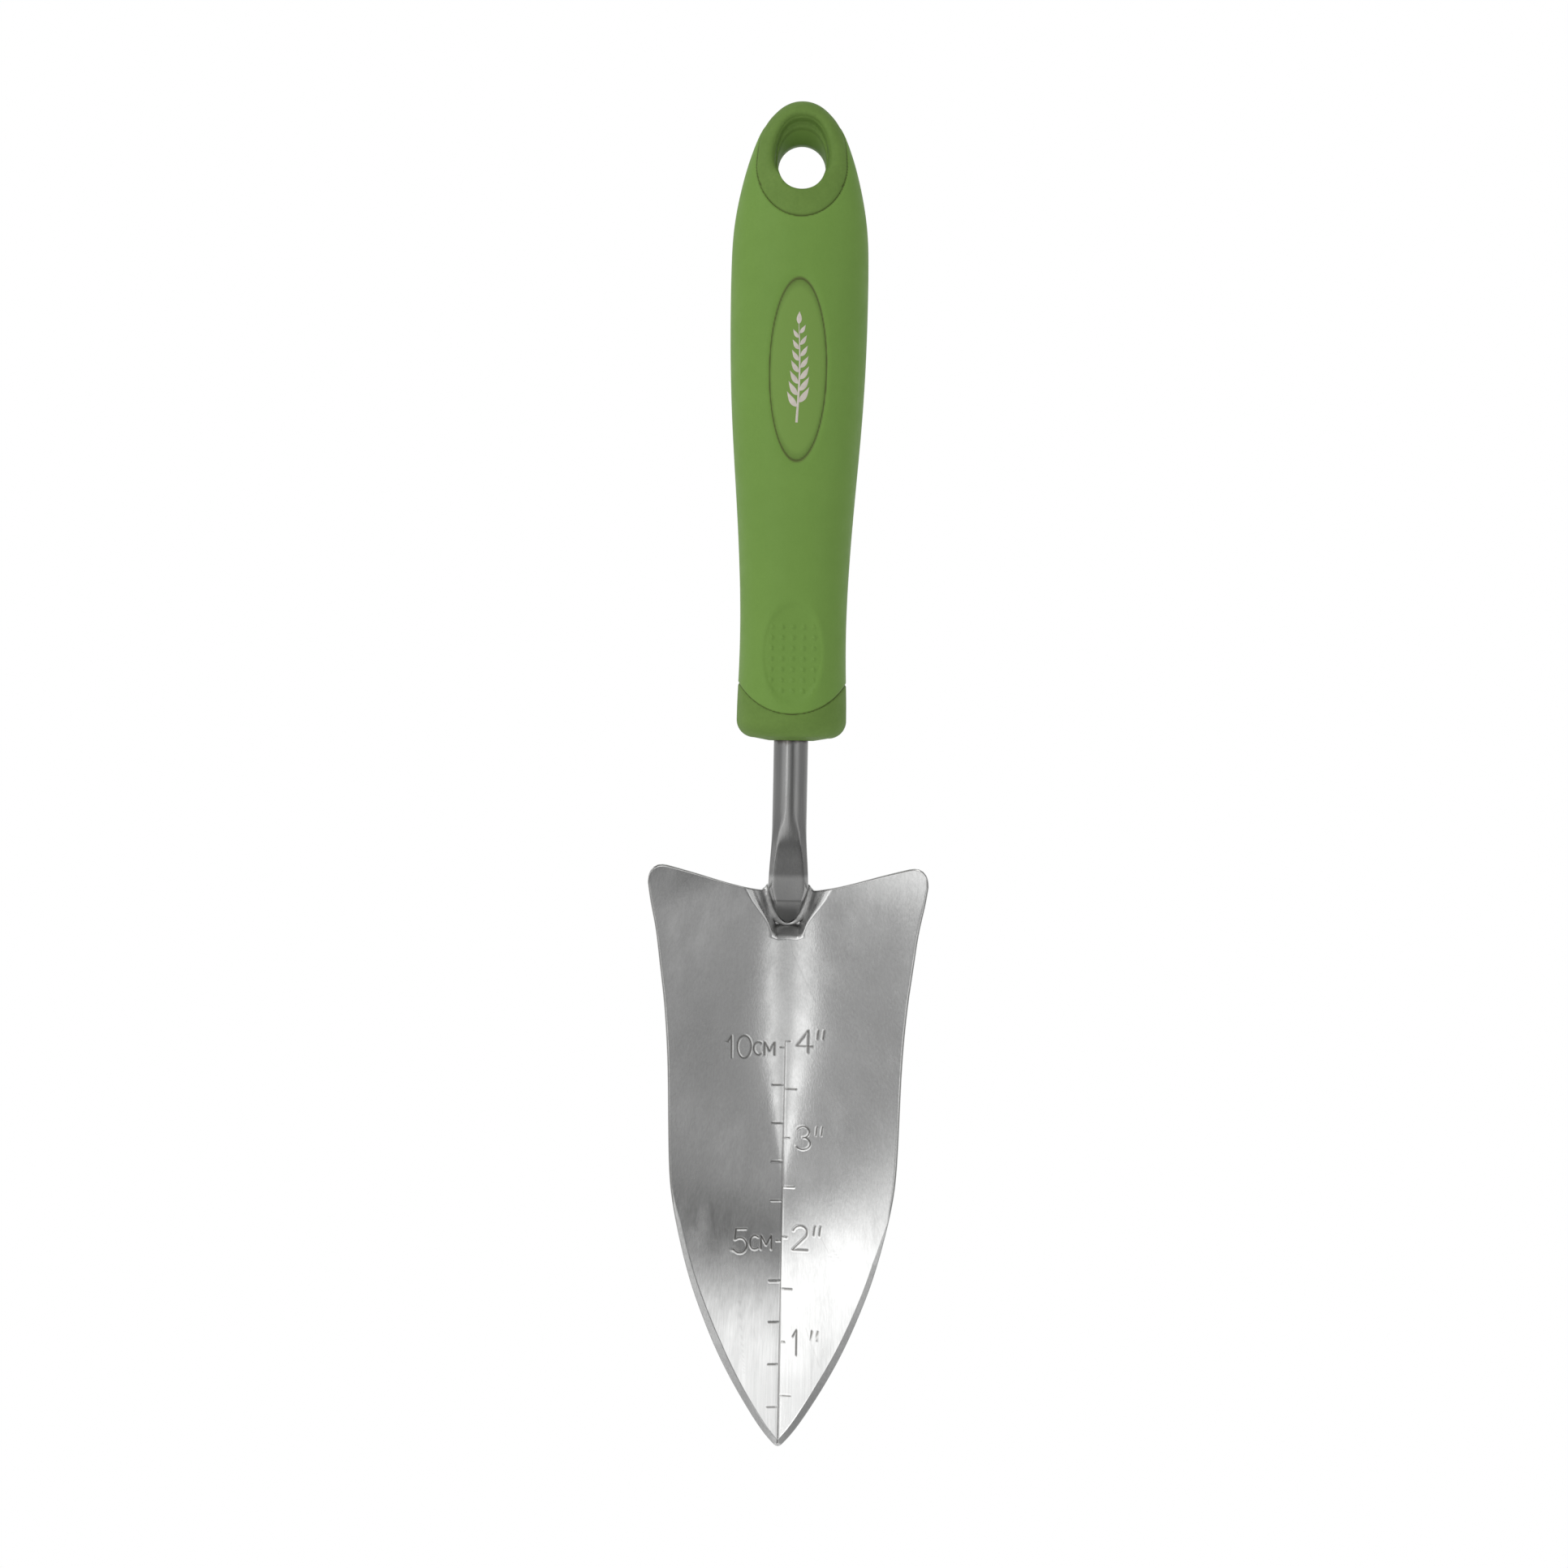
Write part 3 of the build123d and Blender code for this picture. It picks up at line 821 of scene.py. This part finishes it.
marks = []
for side_sign, unit, count, labelled in ((-1, 10.0, 10, (5, 10)), (1, 12.7, 8, (2, 4, 6, 8))):
    for step in range(1, count + 1):
        length = 1.2 if step in labelled else 2.7
        marks.append([(0.15 * side_sign, step * unit), (length * side_sign, step * unit)])
marks.append([(0, 1.5), (0, 101.6)])
labels = [
    ("1", -13.2, 100.0, 1.6, 6.0),
    ("0", -11.0, 100.0, 3.2, 6.0),
    ("c", -7.2, 99.6, 2.0, 3.4),
    ("m", -4.7, 99.6, 2.3, 3.4),
    ("5", -11.2, 50.0, 3.2, 6.0),
    ("c", -7.4, 49.6, 2.1, 3.4),
    ("m", -4.8, 49.6, 2.4, 3.4),
    ("4", 2.6, 101.6, 3.6, 6.0),
    ("i", 6.6, 101.6, 2.4, 6.0),
    ("3", 3.0, 76.2, 3.4, 6.0),
    ("i", 6.9, 76.2, 2.2, 6.0),
    ("2", 2.6, 50.8, 3.6, 6.0),
    ("i", 6.9, 50.8, 2.3, 6.0),
    ("1", 3.0, 25.4, 1.7, 6.0),
    ("i", 6.6, 25.4, 2.4, 6.0),
]
for kind, x, middle, w, h in labels:
    marks += glyph(kind, x, middle - h / 2, w, h)
lines = [(line, min(z for _, z in line), max(z for _, z in line)) for line in marks]


# fine scratches of use, from (x, z) to (x, z)
scratches = [
    (-0.6, -187.0, -0.45, -187.5),
    (1.2, -178.5, 6.5, -190.0),
    (9.0, -246.0, 15.5, -258.5),
    (12.0, -249.0, 17.0, -256.0),
    (-17.5, -233.0, -15.2, -247.0),
    (-20.5, -236.0, -19.6, -246.0),
    (-9.5, -262.0, -8.2, -279.0),
    (6.0, -268.0, 9.5, -277.0),
]


def engraving(x, z):
    """Depth of the stamped marks and a mask that darkens them: painted shade in their grooves, and darker
    scratches.
    """
    along = np.interp(z, crease[:, 2], crease[:, 0])
    near = np.full(x.shape, 1e9)
    for line, low, high in lines:
        band = (along > low - 1.2) & (along < high + 1.2) & (np.abs(x) < 15)
        if band.any():
            near[band] = np.minimum(near[band], stroke_distance(x[band], along[band], [line]))
    groove = 1 - smooth(near, 0.04, 0.29)
    lip = smooth(near, 0.26, 0.42) * (1 - smooth(near, 0.42, 0.75))
    hair = np.zeros(x.shape)
    for ax, az, bx, bz in scratches:
        band = (z > min(az, bz) - 1) & (z < max(az, bz) + 1)
        band &= np.abs(x - (ax + bx) / 2) < abs(bx - ax) / 2 + 1
        away = stroke_distance(x[band], z[band], [[(ax, az), (bx, bz)]])
        hair[band] = np.maximum(hair[band], 1 - smooth(away, 0.02, 0.2))
    # painted shade in the stamped grooves, lighter along the centre line
    painted_groove_shade = np.where(np.abs(x) < 0.8, 0.5, 0.86)
    return 0.1 * groove - 0.006 * lip + 0.015 * hair, np.maximum(groove * painted_groove_shade, 0.12 * hair)


def blade_rows():
    """X and Z of the front face's grid, from the top edge to the tip."""
    heights = spaced(
        (-168.0, -184.0, 0.3), (-184.0, -190.0, 0.6), (-190.0, -294.0, 0.235), (-294.0, -296.19, 0.12)
    )
    inner = spaced((0, 0.54, 0.0085), (0.54, 1.0, 0.03))
    rim = np.array([2.4, 2.1, 1.9, 1.75, 1.6, 1.45, 1.3, 1.15, 1.0, 0.85, 0.7, 0.5, 0.3, 0.12, 0.0])
    e = half_width(heights)
    slant = np.sqrt(1 + np.gradient(e, heights) ** 2)
    size = np.minimum(1, e / 5.5)
    last = e - rim[0] * size * np.minimum(slant, 2.2)
    x = inner[None] * last[:, None]
    outer = e[:, None] - rim[None, 1:] * (size * np.minimum(slant, 2.2))[:, None]
    x = np.concatenate([x, outer], axis=1)
    z = np.broadcast_to(heights[:, None], x.shape)
    # rows between the top edge and the first level row
    share_x = x[0] / e[0]
    length = np.concatenate([[0], np.cumsum(np.linalg.norm(np.diff(top, axis=0), axis=1))])
    tx, tz = (np.interp(share_x, length / length[-1], top[:, k]) for k in (0, 1))
    steps = np.linspace(0, 1, 22)[:-1]
    px, pz = [], []
    for s in steps:
        row_x, row_z = tx * (1 - s) + x[0] * s, tz * (1 - s) + heights[0] * s
        level = top[-1, 1] * (1 - s) + heights[0] * s
        pull = half_width(np.array([level]))[0] - (top[-1, 0] * (1 - s) + e[0] * s)
        px.append(row_x + pull * share_x**6)
        pz.append(row_z)
    x = np.concatenate([np.array(px), x])
    z = np.concatenate([np.array(pz), z])
    x = np.concatenate([-x[:, :0:-1], x], axis=1)
    z = np.concatenate([z[:, :0:-1], z], axis=1)
    return x, z


def edge_gap(x, z):
    """Distance inwards from the side edge."""
    e = half_width(np.minimum(z, -163.0))
    slope = (half_width(np.minimum(z, -163.0) + 0.2) - half_width(np.minimum(z, -163.0) - 0.2)) / 0.4
    return (e - np.abs(x)) / np.sqrt(1 + slope**2)


def blade_piece():
    """The sheet: front face, rolled rim and back face as one closed mesh."""
    x, z = blade_rows()
    y = blade_front(x, z)
    low = trough(x, z, 0.0)
    y = soft_max(y, low, 0.9 + 4.2 * smooth(z, -173.0, -166.0) * smooth(np.abs(x), 3.6, 5.6))
    cut, groove = engraving(x, z)
    gap = edge_gap(x, z)
    later = np.where(x > 0, 9.0, 0.0)
    wide = np.interp(-z - later, [233, 243, 272, 292], [0.0, 1.0, 1.65, 1.3])
    y = y + cut + 0.6 * np.clip(wide - gap, 0, 1.8)
    roll = np.clip(1 - gap / 0.5, 0, 1) ** 2 * 0.18 * (1 - smooth(-z, 232, 244))
    y = y + roll
    # painted shade: a dark line along the sheet's outline in its upper part, wider at the top corners,
    # standing in for the shaded edge of the sheet
    outline = np.minimum(gap, np.interp(np.abs(x), top[:, 0], top[:, 1]) - z)
    corner = smooth(np.abs(x), 27.0, 30.5) * smooth(z, -164.0, -160.5)
    painted_edge_shade = 0.6 * (1 - smooth(outline, 0.1, 0.34 + 0.35 * corner))
    painted_edge_shade *= 1 - smooth(-z, 236, 246)
    # painted highlight: the pocket's side walls are painted paler, more on the left; the pocket is also made
    # rougher
    pit = smooth(low - blade_front(x, z), -0.3, 0.6)
    bright = pit * (0.9 * smooth(-x, 2.6, 4.0) + 0.5 * smooth(x, 3.4, 4.4))
    b = Build()
    ids = b.add(np.stack([x, y, z], axis=-1), dirt=np.maximum(groove, painted_edge_shade), matt=pit, worn=bright)
    b.grid(ids)
    # outline of the sheet, in order round the edge
    rows, cols = x.shape
    loop = [(0, c) for c in range(cols)] + [(r, cols - 1) for r in range(1, rows)]
    loop += [(rows - 1, c) for c in range(cols - 2, -1, -1)] + [(r, 0) for r in range(rows - 2, 0, -1)]
    rr, cc = np.array(loop).T
    ex, ez, ey = x[rr, cc], z[rr, cc], y[rr, cc]
    gx, gz = slopes(ex, ez)
    full = np.sqrt(1 + gx * gx + gz * gz)
    thick = sheet * full
    back_y = np.maximum(blade_front(ex, ez) + thick, trough(ex, ez, sheet))
    nx, nz = np.gradient(ez), -np.gradient(ex)
    size = np.maximum(np.hypot(nx, nz), 1e-9)
    nx, nz = nx / size, nz / size
    way = np.sign((nx * ex + nz * (ez + 215)).sum())
    previous = ids[rr, cc]
    for share in (0.2, 0.5, 0.8, 1.0):
        push = 0.16 * math.sin(share * math.pi) * way
        ring = np.stack([ex + nx * push, ey * (1 - share) + back_y * share, ez + nz * push], axis=-1)
        new = b.add(ring, dirt=np.zeros(len(ring)))
        b.grid(np.stack([previous, new]), True)
        previous = new
    # back face: every row near the pocket, every fourth below it, and every third column
    upper = int(np.argmin(np.abs(z[:, cols // 2] + 182.0)))
    middle = cols // 2
    pick_r = np.unique(np.concatenate([np.arange(0, upper, 1), np.arange(upper, rows, 4), [rows - 1]]))
    pick_c = np.unique(np.concatenate([np.arange(0, cols, 3), [middle, cols - 1]]))
    bx, bz = x[np.ix_(pick_r, pick_c)], z[np.ix_(pick_r, pick_c)]
    gx, gz = slopes(bx, bz)
    by = blade_front(bx, bz) + sheet * np.sqrt(1 + gx * gx + gz * gz)
    low = trough(bx, bz, sheet)
    by = soft_max(by, low, 2.8)
    back_ids = b.add(np.stack([bx, by, bz], axis=-1), dirt=np.zeros(bx.shape))
    # shared outer ring
    where = {pair: i for i, pair in enumerate(loop)}
    for i, r in enumerate(pick_r):
        for j, c in enumerate(pick_c):
            if (r, c) in where:
                back_ids[i, j] = previous[where[(r, c)]]
    b.grid(back_ids, flip=True)
    # fill between the full ring and the picked corners
    picked = sorted(where[(r, c)] for r in pick_r for c in pick_c if (r, c) in where)
    for a, nxt in zip(picked, picked[1:] + [picked[0] + len(loop)]):
        inner = [int(previous[k % len(loop)]) for k in range(a, nxt + 1)]
        if len(inner) > 2:
            b.faces.append(inner)
    return b


blade_material = steel("blade_steel", (0.64, 0.642, 0.638), (0.46, 0.462, 0.458), 0.19, (1, 1, 0.02), 0.85)
blade_piece().make("blade_sheet", "blade", "blade_steel", blade_material, merge=0.002)


# ------------------------------------------------------------------ shank
bend_start, bend_angle, bend_radius = -147.0, math.radians(17.0), 30.0
bend_end_z = bend_start - bend_radius * math.sin(bend_angle)
bend_end_y = bend_radius * (1 - math.cos(bend_angle))


def shank_y(z):
    """Y of the shank's axis below the bend."""
    return bend_end_y + (bend_end_z - z) * math.tan(bend_angle)


shield_edge = [(5.6, -158.0), (4.55, -164.4), (3.0, -168.6), (1.35, -171.2), (0.02, -172.0)]
shield = knots(shield_edge, np.linspace(0, 1, 200))
# height, width, depth, shift, and how far the section is forged flat (0 to 1)
forged = np.array(
    [
        (-120.0, 7.8, 7.8, 0.0, 0.0),
        (-147.0, 7.8, 7.8, 0.0, 0.0),
        (-149.0, 7.8, 7.7, 0.1, 0.3),
        (-152.0, 7.9, 7.4, 0.45, 0.9),
        (-155.0, 8.1, 6.9, 1.1, 1.0),
        (bend_end_z - 2, 8.6, 6.4, shank_y(bend_end_z - 2) + 0.1, 1.0),
        (-163.5, 9.2, 6.1, shank_y(-163.5) + 0.4, 1.0),
        (-168.0, 9.2, 5.8, shank_y(-168.0) + 0.4, 1.0),
        (-173.0, 9.2, 5.4, shank_y(-173.0) + 0.4, 1.0),
    ]
)


def shank_piece():
    """The rod under the collar, its crank and the forged tongue with its pointed shield."""
    heights = spaced(
        (-120.0, -129.0, 1.0),
        (-129.0, -132.5, 0.15),
        (-132.5, -146.0, 1.0),
        (-146.0, -166.0, 0.4),
        (-166.0, -171.6, 0.2),
        (-171.6, -171.98, 0.06),
    )
    share = np.linspace(0, 1, 160, endpoint=False)
    angle = 2 * math.pi * share - math.pi / 2
    # each value is averaged over 5 mm of height, which rounds its corners
    steps = np.linspace(-2.5, 2.5, 9)
    w, d, s, k = (
        sum(np.interp(step - heights, -forged[:, 0], forged[:, i]) for step in steps)[:, None] / len(steps)
        for i in (1, 2, 3, 4)
    )
    limit = np.where(heights > -158.0, 20, np.interp(heights, shield[::-1, 1], shield[::-1, 0]))[:, None]
    half = np.minimum(w / 2, limit)
    # round at the top, then a flat forged face with narrow bevels
    c, t = np.abs(np.cos(angle))[None], np.abs(np.sin(angle))[None]
    across, deep = w / 2, d / 2
    bevel = np.interp(-heights, [147, 151, 158, 166], [2.4, 1.5, 1.15, 0.95])[:, None]
    sum_limit = across / bevel + (deep - bevel) / bevel
    cut = ((c / across) ** 36 + (t / deep) ** 36 + ((c + t) / bevel / sum_limit) ** 36) ** (-1 / 36)
    rounded = 1 / np.hypot(c / across, t / deep)
    reach = rounded * (1 - k) + cut * k
    x, y = reach * np.cos(angle)[None], reach * np.sin(angle)[None]
    x = x * half / (w / 2)
    y = y + s
    nose_z = -167.4
    nose_y = shank_y(nose_z) - 2.5
    slant = nose_y + (nose_z - heights[:, None]) * 14 / 12
    y = np.where(heights[:, None] < nose_z + 0.6, soft_max(y, slant, 0.25), y)
    z = np.broadcast_to(heights[:, None], x.shape)
    b = Build()
    # painted highlight: a paler band across the tongue's front face
    pale = smooth(z, -160.5, -162.0) * (1 - smooth(-z, 166.5, 167.0)) * (np.sin(angle)[None] < -0.3) * 0.62
    # a dark band painted on the rod just under the collar, with a ragged lower edge
    ragged = 0.35 + 0.3 * np.sin(angle * 3 + 1) + 0.22 * np.sin(angle * 11 + 2) + 0.14 * np.sin(angle * 23)
    below = collar_end - z
    dark_under_collar = 0.95 * (1 - smooth(below, 0.1, 0.4 + 1.3 * np.clip(ragged, 0.05, 1)[None]))
    ids = b.add(np.stack([x, y, z], axis=-1), dirt=dark_under_collar, worn=pale)
    b.grid(ids, True)
    for ring in (ids[0], ids[-1]):
        centre = np.concatenate(b.points)[ring].mean(axis=0)
        middle = b.add(centre[None], dirt=np.zeros(1))
        b.fan(ring, middle[0])
    return b


# painted shade: the shank's steel has a far darker base than the blade's, darker than real steel, so the neck
# reads dim
shank_material = steel("shank_steel", (0.22, 0.22, 0.218), (0.165, 0.165, 0.163), 0.2, (1, 1, 0.05), 0.8)
shank_piece().make("shank_rod", "tang", "shank_steel", shank_material)


def weld_piece():
    """A bead laid along the tongue's sides and round its nose."""
    # x, z, y and radius of the bead down one side
    half = [
        (4.7, -163.6, 4.6, 0.7),
        (4.75, -165.2, 5.2, 1.25),
        (4.0, -167.9, 6.2, 1.3),
        (2.7, -170.5, 7.3, 1.0),
        (1.3, -171.9, 8.1, 0.5),
    ]
    stops = [(-x, z, y, r) for x, z, y, r in half] + [(0.0, -172.25, 8.2, 0.36)] + half[::-1]
    path = knots(stops, np.linspace(0, 1, 170))
    d = np.gradient(path[:, :2], axis=0)
    d /= np.linalg.norm(d, axis=1)[:, None]
    side_way = np.stack([-d[:, 1], d[:, 0]], axis=1)
    t = np.linspace(0, 1, 170)
    ripple = 1 + 0.06 * np.abs(np.sin(t * 42)) + 0.05 * np.sin(t * 17 + 1)
    ends = np.minimum(1, np.minimum(t, 1 - t) / 0.03) ** 0.5
    angle = np.linspace(0, 2 * math.pi, 24, endpoint=False)
    r = path[:, 3:] * (ripple * ends)[:, None]
    x = path[:, :1] + side_way[:, :1] * r * np.cos(angle)[None]
    z = path[:, 1:2] + side_way[:, 1:] * r * np.cos(angle)[None]
    y = path[:, 2:3] + 0.75 * r * np.sin(angle)[None]
    b = Build()
    ids = b.add(np.stack([x, y, z], axis=-1), dirt=np.zeros(x.shape))
    b.grid(ids, True)
    for ring in (ids[0], ids[-1]):
        middle = b.add(np.concatenate(b.points)[ring].mean(axis=0)[None], dirt=np.zeros(1))
        b.fan(ring, middle[0])
    return b


weld_material = steel("weld_steel", (0.5, 0.5, 0.495), (0.4, 0.4, 0.395), 0.36, (1, 1, 0.7), 0.6)
weld_piece().make("weld_bead", "tang_weld", "weld_steel", weld_material)


# ------------------------------------------------------------------ set
def plane(name, size, height, material):
    """A round floor."""
    mesh = bpy.data.meshes.new(name)
    n = 48
    turns = [2 * math.pi * i / n for i in range(n)]
    ring = [(size * math.cos(t), size * math.sin(t), height) for t in turns]
    mesh.from_pydata(ring, [], [list(range(n))])
    mesh.materials.append(material)
    item = bpy.data.objects.new(name, mesh)
    bpy.context.scene.collection.objects.link(item)
    return item


floor_material, tree, shader = principled("floor_pale")
grain = texture(tree, 6, 4, 0.5)
tone = mix(tree, spread(tree, grain, 0.3, 0.7, 0, 1), (0.86, 0.86, 0.86), (0.9, 0.9, 0.9))
link(tree, tone, shader.inputs["Base Color"])
shader.inputs["Roughness"].default_value = 0.9
shader.inputs["Emission Color"].default_value = (1, 1, 1, 1)
shader.inputs["Emission Strength"].default_value = 0.25
floor = plane("floor", 5.5, -1.2, floor_material)
floor.visible_glossy = False

# studio: bright soft walls round the object, darker low down, brighter on the left
world = bpy.data.worlds.new("studio")
bpy.context.scene.world = world
world.use_nodes = True
tree = world.node_tree
coords = tree.nodes.new("ShaderNodeTexCoord")
parts = tree.nodes.new("ShaderNodeSeparateXYZ")
link(tree, coords.outputs["Generated"], parts.inputs[0])
across, ahead, up = parts.outputs


def ramp(value, low, high, to_low, to_high):
    return spread(tree, value, low, high, to_low, to_high, "SMOOTHSTEP")


def times(a, b):
    return calc(tree, "MULTIPLY", a, b)


def plus(a, b):
    return calc(tree, "ADD", a, b)


def rest(a):
    return calc(tree, "SUBTRACT", 1.0, a)


aside = calc(tree, "ABSOLUTE", across, 0.0)
tilted = plus(up, times(across, -0.1))
wall = ramp(tilted, -0.55, -0.40, 0.0, 1.0)
# low down: dim, with a soft bright patch each side of the middle
right = ramp(across, -0.03, 0.03, 0.0, 1.0)
pair = times(ramp(plus(aside, times(right, 0.065)), 0.40, 0.48, 1.0, 0.0), ramp(aside, 0.12, 0.36, 0.42, 1.0))
pair = times(pair, ramp(plus(up, times(right, 0.06)), -0.72, -0.6, 1.0, 0.0))
cast = plus(ramp(up, -0.71, -0.65, 0.0, 0.14), ramp(up, -0.61, -0.54, 0.0, -0.24))
under = plus(ramp(up, -0.62, -0.5, 0.44, 0.22), times(ramp(across, 0.42, 0.55, 0.0, 1.0), cast))
line = ramp(calc(tree, "ABSOLUTE", plus(across, -0.37), 0.0), 0.0, 0.045, 1.0, 0.0)
line = times(line, ramp(up, -0.78, -0.68, 1.0, 0.0))
under = plus(under, plus(times(pair, 0.95), times(line, 0.2)))
under = plus(under, ramp(aside, 0.73, 0.9, 0.0, 0.8))
# level: bright panels, with a dim gap ahead, a narrow bright strip at eye height and dimmer ends
gap = calc(tree, "ABSOLUTE", plus(across, -0.2), 0.0)
gap = times(ramp(gap, 0.08, 0.42, 0.66, 0.0), ramp(ahead, -0.4, 0.0, 1.0, 0.0))
ends = ramp(aside, 0.74, 0.94, 0.0, 0.45)
middle = ramp(calc(tree, "ABSOLUTE", up, 0.0), 0.1, 0.22, 1.0, 0.0)
strip = ramp(calc(tree, "ABSOLUTE", plus(across, 0.42), 0.0), 0.01, 0.07, 1.0, 0.0)
sides = ramp(across, 0.35, 0.6, 0.3, 0.12)
level = times(plus(1.72, times(ramp(up, 0.1, 0.4, 0.0, 1.0), -0.9)), times(rest(gap), rest(ends)))
level = times(level, rest(times(middle, sides)))
level = plus(level, times(times(strip, middle), ramp(ahead, -0.2, 0.0, 2.6, 0.0)))
room = plus(times(wall, level), times(rest(wall), under))
room = times(room, rest(times(across, 0.15)))
behind = ramp(ahead, 0.1, 0.6, 0.0, 1.0)
whole_room = plus(times(room, rest(behind)), times(behind, 0.85))
paths = tree.nodes.new("ShaderNodeLightPath")
seen = paths.outputs["Is Camera Ray"]
strength = plus(times(whole_room, rest(seen)), seen)
background = tree.nodes["Background"]
background.inputs["Color"].default_value = (1, 1, 1, 1)
link(tree, strength, background.inputs["Strength"])


def area(name, place, aim, size, power):
    light = bpy.data.lights.new(name, "AREA")
    light.shape = "RECTANGLE"
    light.size, light.size_y = size
    light.energy = power
    item = bpy.data.objects.new(name, light)
    bpy.context.scene.collection.objects.link(item)
    item.location = place
    item.rotation_mode = "QUATERNION"
    item.rotation_quaternion = (Vector(aim) - Vector(place)).to_track_quat("-Z", "Y")


area("key_high_left", (-0.9, -0.9, 1.1), (0, 0, -0.1), (0.7, 0.7), 7)

camera_data = bpy.data.cameras.new("camera")
camera = bpy.data.objects.new("camera", camera_data)
bpy.context.scene.collection.objects.link(camera)
bpy.context.scene.camera = camera
camera_data.sensor_fit = "HORIZONTAL"
camera_data.sensor_width = 36.0
camera_data.lens = 36.0 / (2 * math.tan(math.radians(17.62) / 2))
camera_data.clip_start = 0.05
distance = 1.150
azimuth, roll = math.radians(0.1), math.radians(1.1)
camera.rotation_mode = "XYZ"
camera.location = (-0.0014 + distance * math.sin(azimuth), -distance * math.cos(azimuth), -0.1403)

turn = Matrix.Rotation(azimuth, 3, "Z") @ Matrix.Rotation(math.pi / 2, 3, "X") @ Matrix.Rotation(roll, 3, "Z")
camera.rotation_euler = turn.to_euler()

scene = bpy.context.scene
scene.view_settings.view_transform = "Standard"
scene.view_settings.look = "None"
